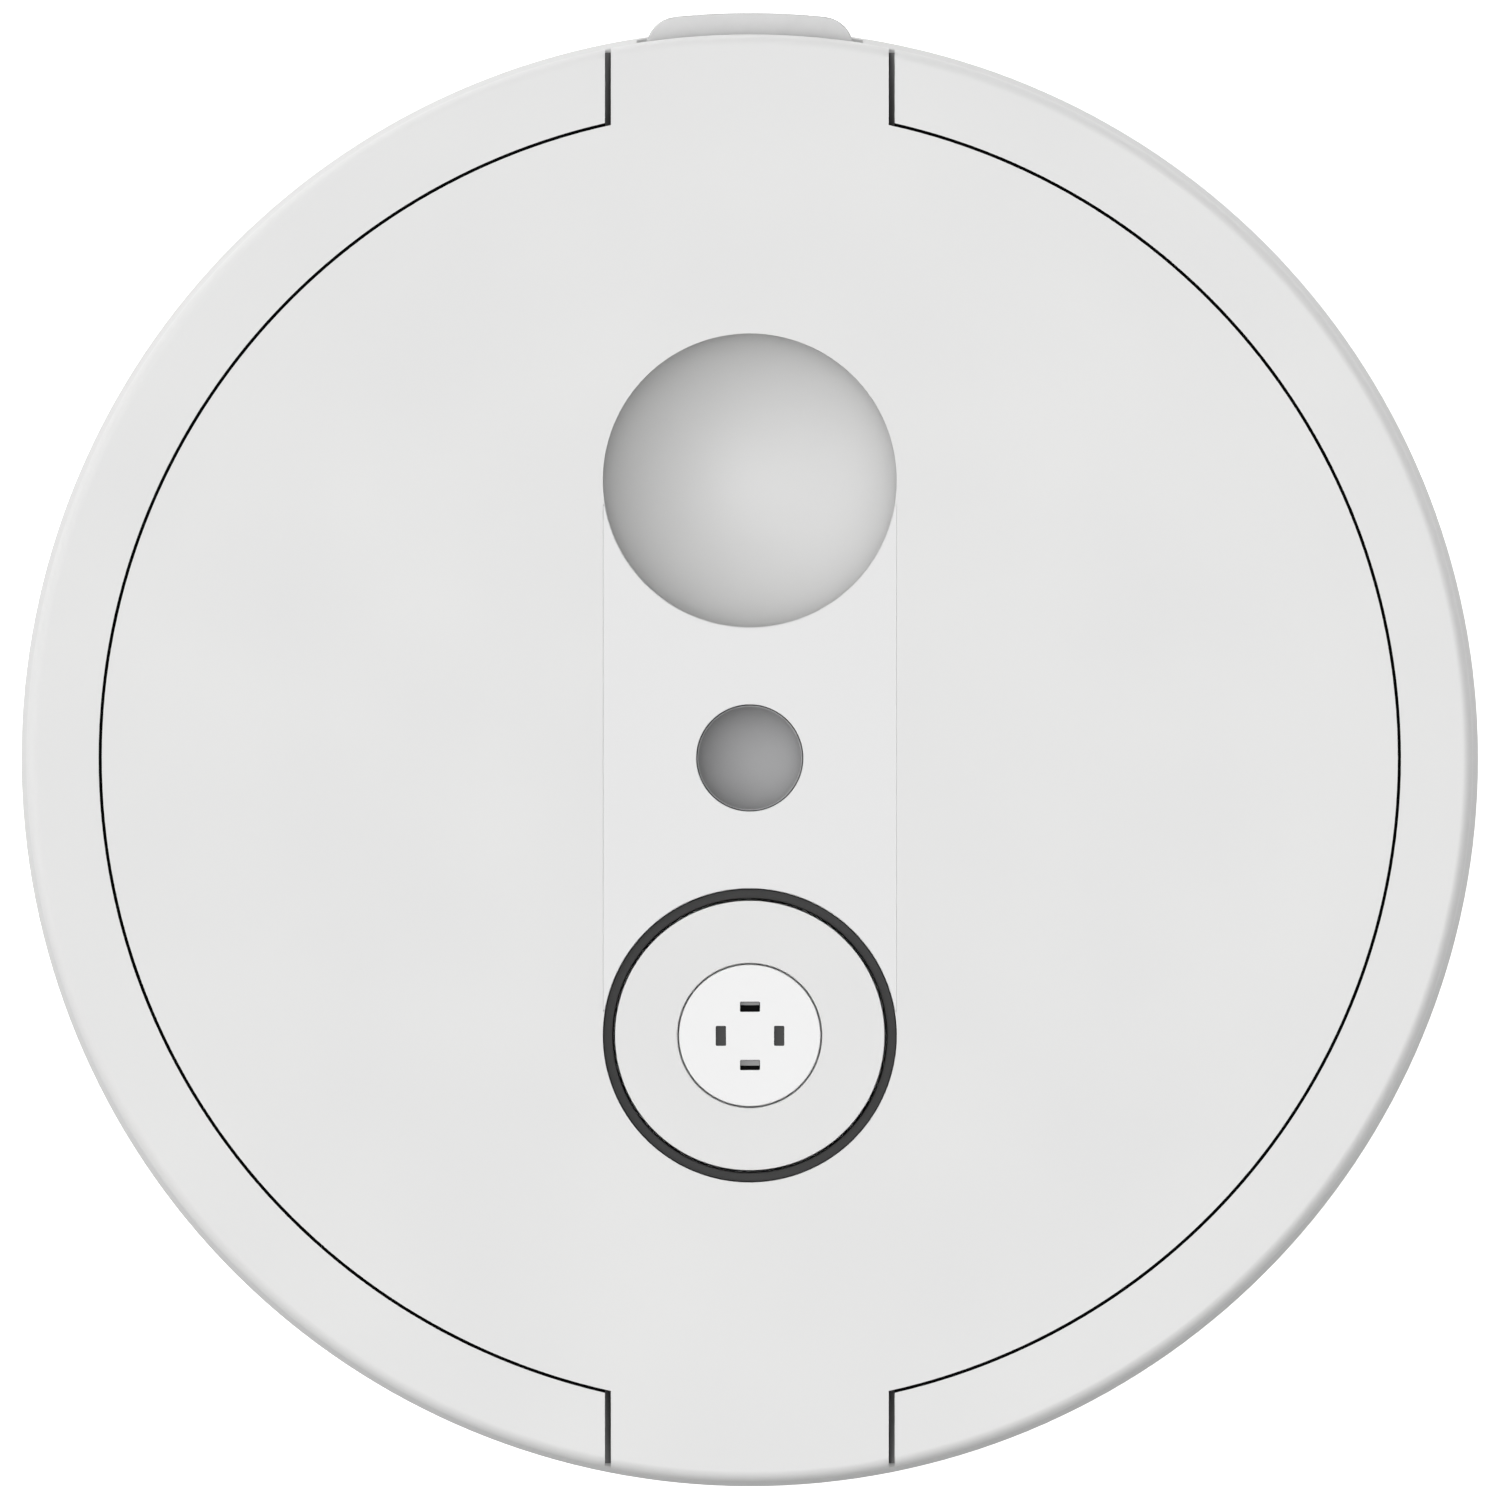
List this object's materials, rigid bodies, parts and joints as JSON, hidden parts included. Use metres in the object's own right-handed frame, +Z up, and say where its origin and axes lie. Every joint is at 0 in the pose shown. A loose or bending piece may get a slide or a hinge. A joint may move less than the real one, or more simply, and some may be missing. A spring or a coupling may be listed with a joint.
{
  "type": "educational coding robot",
  "caption": "Low round floor robot for teaching coding: two driven wheels, ball casters, a pen hole, a tilting direction pad with a go button and a bumper nose with a distance sensor.",
  "frame": {"origin": "on the ground, on the axis of the pen hole, which is the point the robot turns about", "axes": "+Z up, +Y towards the front (the nose), +X to the robot's right"},
  "size_m": [0.15, 0.1517, 0.046],
  "materials": {
    "shell_white": "moulded ABS, fine satin texture",
    "overlay_white": "matt polycarbonate film",
    "cap_white": "polished translucent white",
    "ring_smoke": "smoked translucent acrylic, light ring off",
    "plug_grey": "matt grey TPE",
    "lens_black": "infrared-pass acrylic",
    "guide_grey": "smoked light guide, light off",
    "tyre_rubber": "ribbed silicone rubber",
    "rim_grey": "moulded grey ABS",
    "gear_acetal": "acetal",
    "steel": "bright steel",
    "motor_can": "plated steel can",
    "board_green": "circuit board with solder mask",
    "part_black": "black moulded plastic",
    "battery_wrap": null
  },
  "bodies": {
    "chassis": {"base_plate": "shell_white", "base_screw_1": "steel", "base_screw_2": "steel", "base_screw_3": "steel", "base_screw_4": "steel", "battery_cell": "battery_wrap", "battery_cradle": "part_black", "battery_door": "shell_white", "battery_door_screw": "steel", "body_shell": "shell_white", "bumper_switch": "part_black", "control_overlay": "overlay_white", "distance_sensor": "part_black", "front_bracket": "part_black", "front_caster_socket": "part_black", "keypad_board": "board_green", "left_bumper_spring": "steel", "left_gearbox": "part_black", "left_idler_pin": "steel", "left_motor": "motor_can", "left_side_cover": "shell_white", "light_ring": "ring_smoke", "line_sensor_board": "board_green", "line_window": "lens_black", "main_board": "board_green", "pen_sleeve": "part_black", "power_switch_body": "part_black", "rear_board": "board_green", "rear_caster_socket": "part_black", "right_bumper_spring": "steel", "right_gearbox": "part_black", "right_idler_pin": "steel", "right_motor": "motor_can", "right_side_cover": "shell_white", "seam_gasket": "part_black", "speaker": "part_black", "top_cover": "shell_white", "usb_socket": "steel"},
    "left_wheel": {"left_rim": "rim_grey", "left_tyre": "tyre_rubber", "left_axle": "steel", "left_output_gear": "gear_acetal"},
    "right_wheel": {"right_rim": "rim_grey", "right_tyre": "tyre_rubber", "right_axle": "steel", "right_output_gear": "gear_acetal"},
    "left_idler": {"left_idler_gear": "gear_acetal"},
    "right_idler": {"right_idler_gear": "gear_acetal"},
    "left_motor_pinion": {"left_pinion": "steel"},
    "right_motor_pinion": {"right_pinion": "steel"},
    "front_ball": {"front_caster_ball": "steel"},
    "rear_ball": {"rear_caster_ball": "steel"},
    "nose": {"nose_bumper": "shell_white", "nose_window": "lens_black"},
    "gimbal": {"pad_gimbal": "steel"},
    "pad": {"direction_pad": "shell_white"},
    "go": {"go_button": "cap_white", "go_light_guide": "guide_grey"},
    "power_knob": {"power_switch_knob": "part_black"},
    "plug": {"pen_plug": "plug_grey"}
  },
  "joints": [
    {"name": "left_wheel_spin", "type": "hinge", "parent": "chassis", "child": "left_wheel", "pos_m": [-0.0615, 0, 0.02], "axis": [1, 0, 0], "continuous": true},
    {"name": "left_idler_spin", "type": "hinge", "parent": "chassis", "child": "left_idler", "pos_m": [-0.046, 0.0141, 0.02513], "axis": [1, 0, 0], "continuous": true},
    {"name": "left_motor_spin", "type": "hinge", "parent": "chassis", "child": "left_motor_pinion", "pos_m": [-0.042, 0.02858, 0.02125], "axis": [1, 0, 0], "continuous": true},
    {"name": "right_wheel_spin", "type": "hinge", "parent": "chassis", "child": "right_wheel", "pos_m": [0.0615, 0, 0.02], "axis": [1, 0, 0], "continuous": true},
    {"name": "right_idler_spin", "type": "hinge", "parent": "chassis", "child": "right_idler", "pos_m": [0.046, 0.0141, 0.02513], "axis": [1, 0, 0], "continuous": true},
    {"name": "right_motor_spin", "type": "hinge", "parent": "chassis", "child": "right_motor_pinion", "pos_m": [0.042, 0.02858, 0.02125], "axis": [1, 0, 0], "continuous": true},
    {"name": "front_caster_roll", "type": "hinge", "parent": "chassis", "child": "front_ball", "pos_m": [0, 0.05, 0.006], "axis": [1, 0, 0], "continuous": true},
    {"name": "rear_caster_roll", "type": "hinge", "parent": "chassis", "child": "rear_ball", "pos_m": [0, -0.05, 0.006], "axis": [1, 0, 0], "continuous": true},
    {"name": "bumper_press", "type": "slide", "parent": "chassis", "child": "nose", "axis": [0, -1, 0], "range_m": [0, 0.0015], "stiffness_N_per_m": 400, "springref_m": -0.001, "deforming": ["left_bumper_spring", "right_bumper_spring"]},
    {"name": "pad_tilt_fore_aft", "type": "hinge", "parent": "chassis", "child": "gimbal", "pos_m": [0, -0.02857, 0.0408], "axis": [1, 0, 0], "range_deg": [-2, 2], "stiffness_Nm_per_rad": 0.15},
    {"name": "pad_tilt_side", "type": "hinge", "parent": "gimbal", "child": "pad", "pos_m": [0, -0.02857, 0.0408], "axis": [0, 1, 0], "range_deg": [-2, 2], "stiffness_Nm_per_rad": 0.15},
    {"name": "go_press", "type": "slide", "parent": "pad", "child": "go", "axis": [0, 0, -1], "range_m": [0, 0.0006], "stiffness_N_per_m": 600, "springref_m": -0.0005},
    {"name": "power_slide", "type": "slide", "parent": "chassis", "child": "power_knob", "axis": [1, 0, 0], "range_m": [0, 0.003]},
    {"name": "pen_plug_lift", "type": "slide", "parent": "chassis", "child": "plug", "axis": [0, 0, 1], "range_m": [0, 0.03]}
  ],
  "couplings": [
    {"joint": "left_idler_spin", "follows": "left_wheel_spin", "ratio": -3},
    {"joint": "left_motor_spin", "follows": "left_wheel_spin", "ratio": 9},
    {"joint": "right_idler_spin", "follows": "right_wheel_spin", "ratio": -3},
    {"joint": "right_motor_spin", "follows": "right_wheel_spin", "ratio": 9}
  ]
}
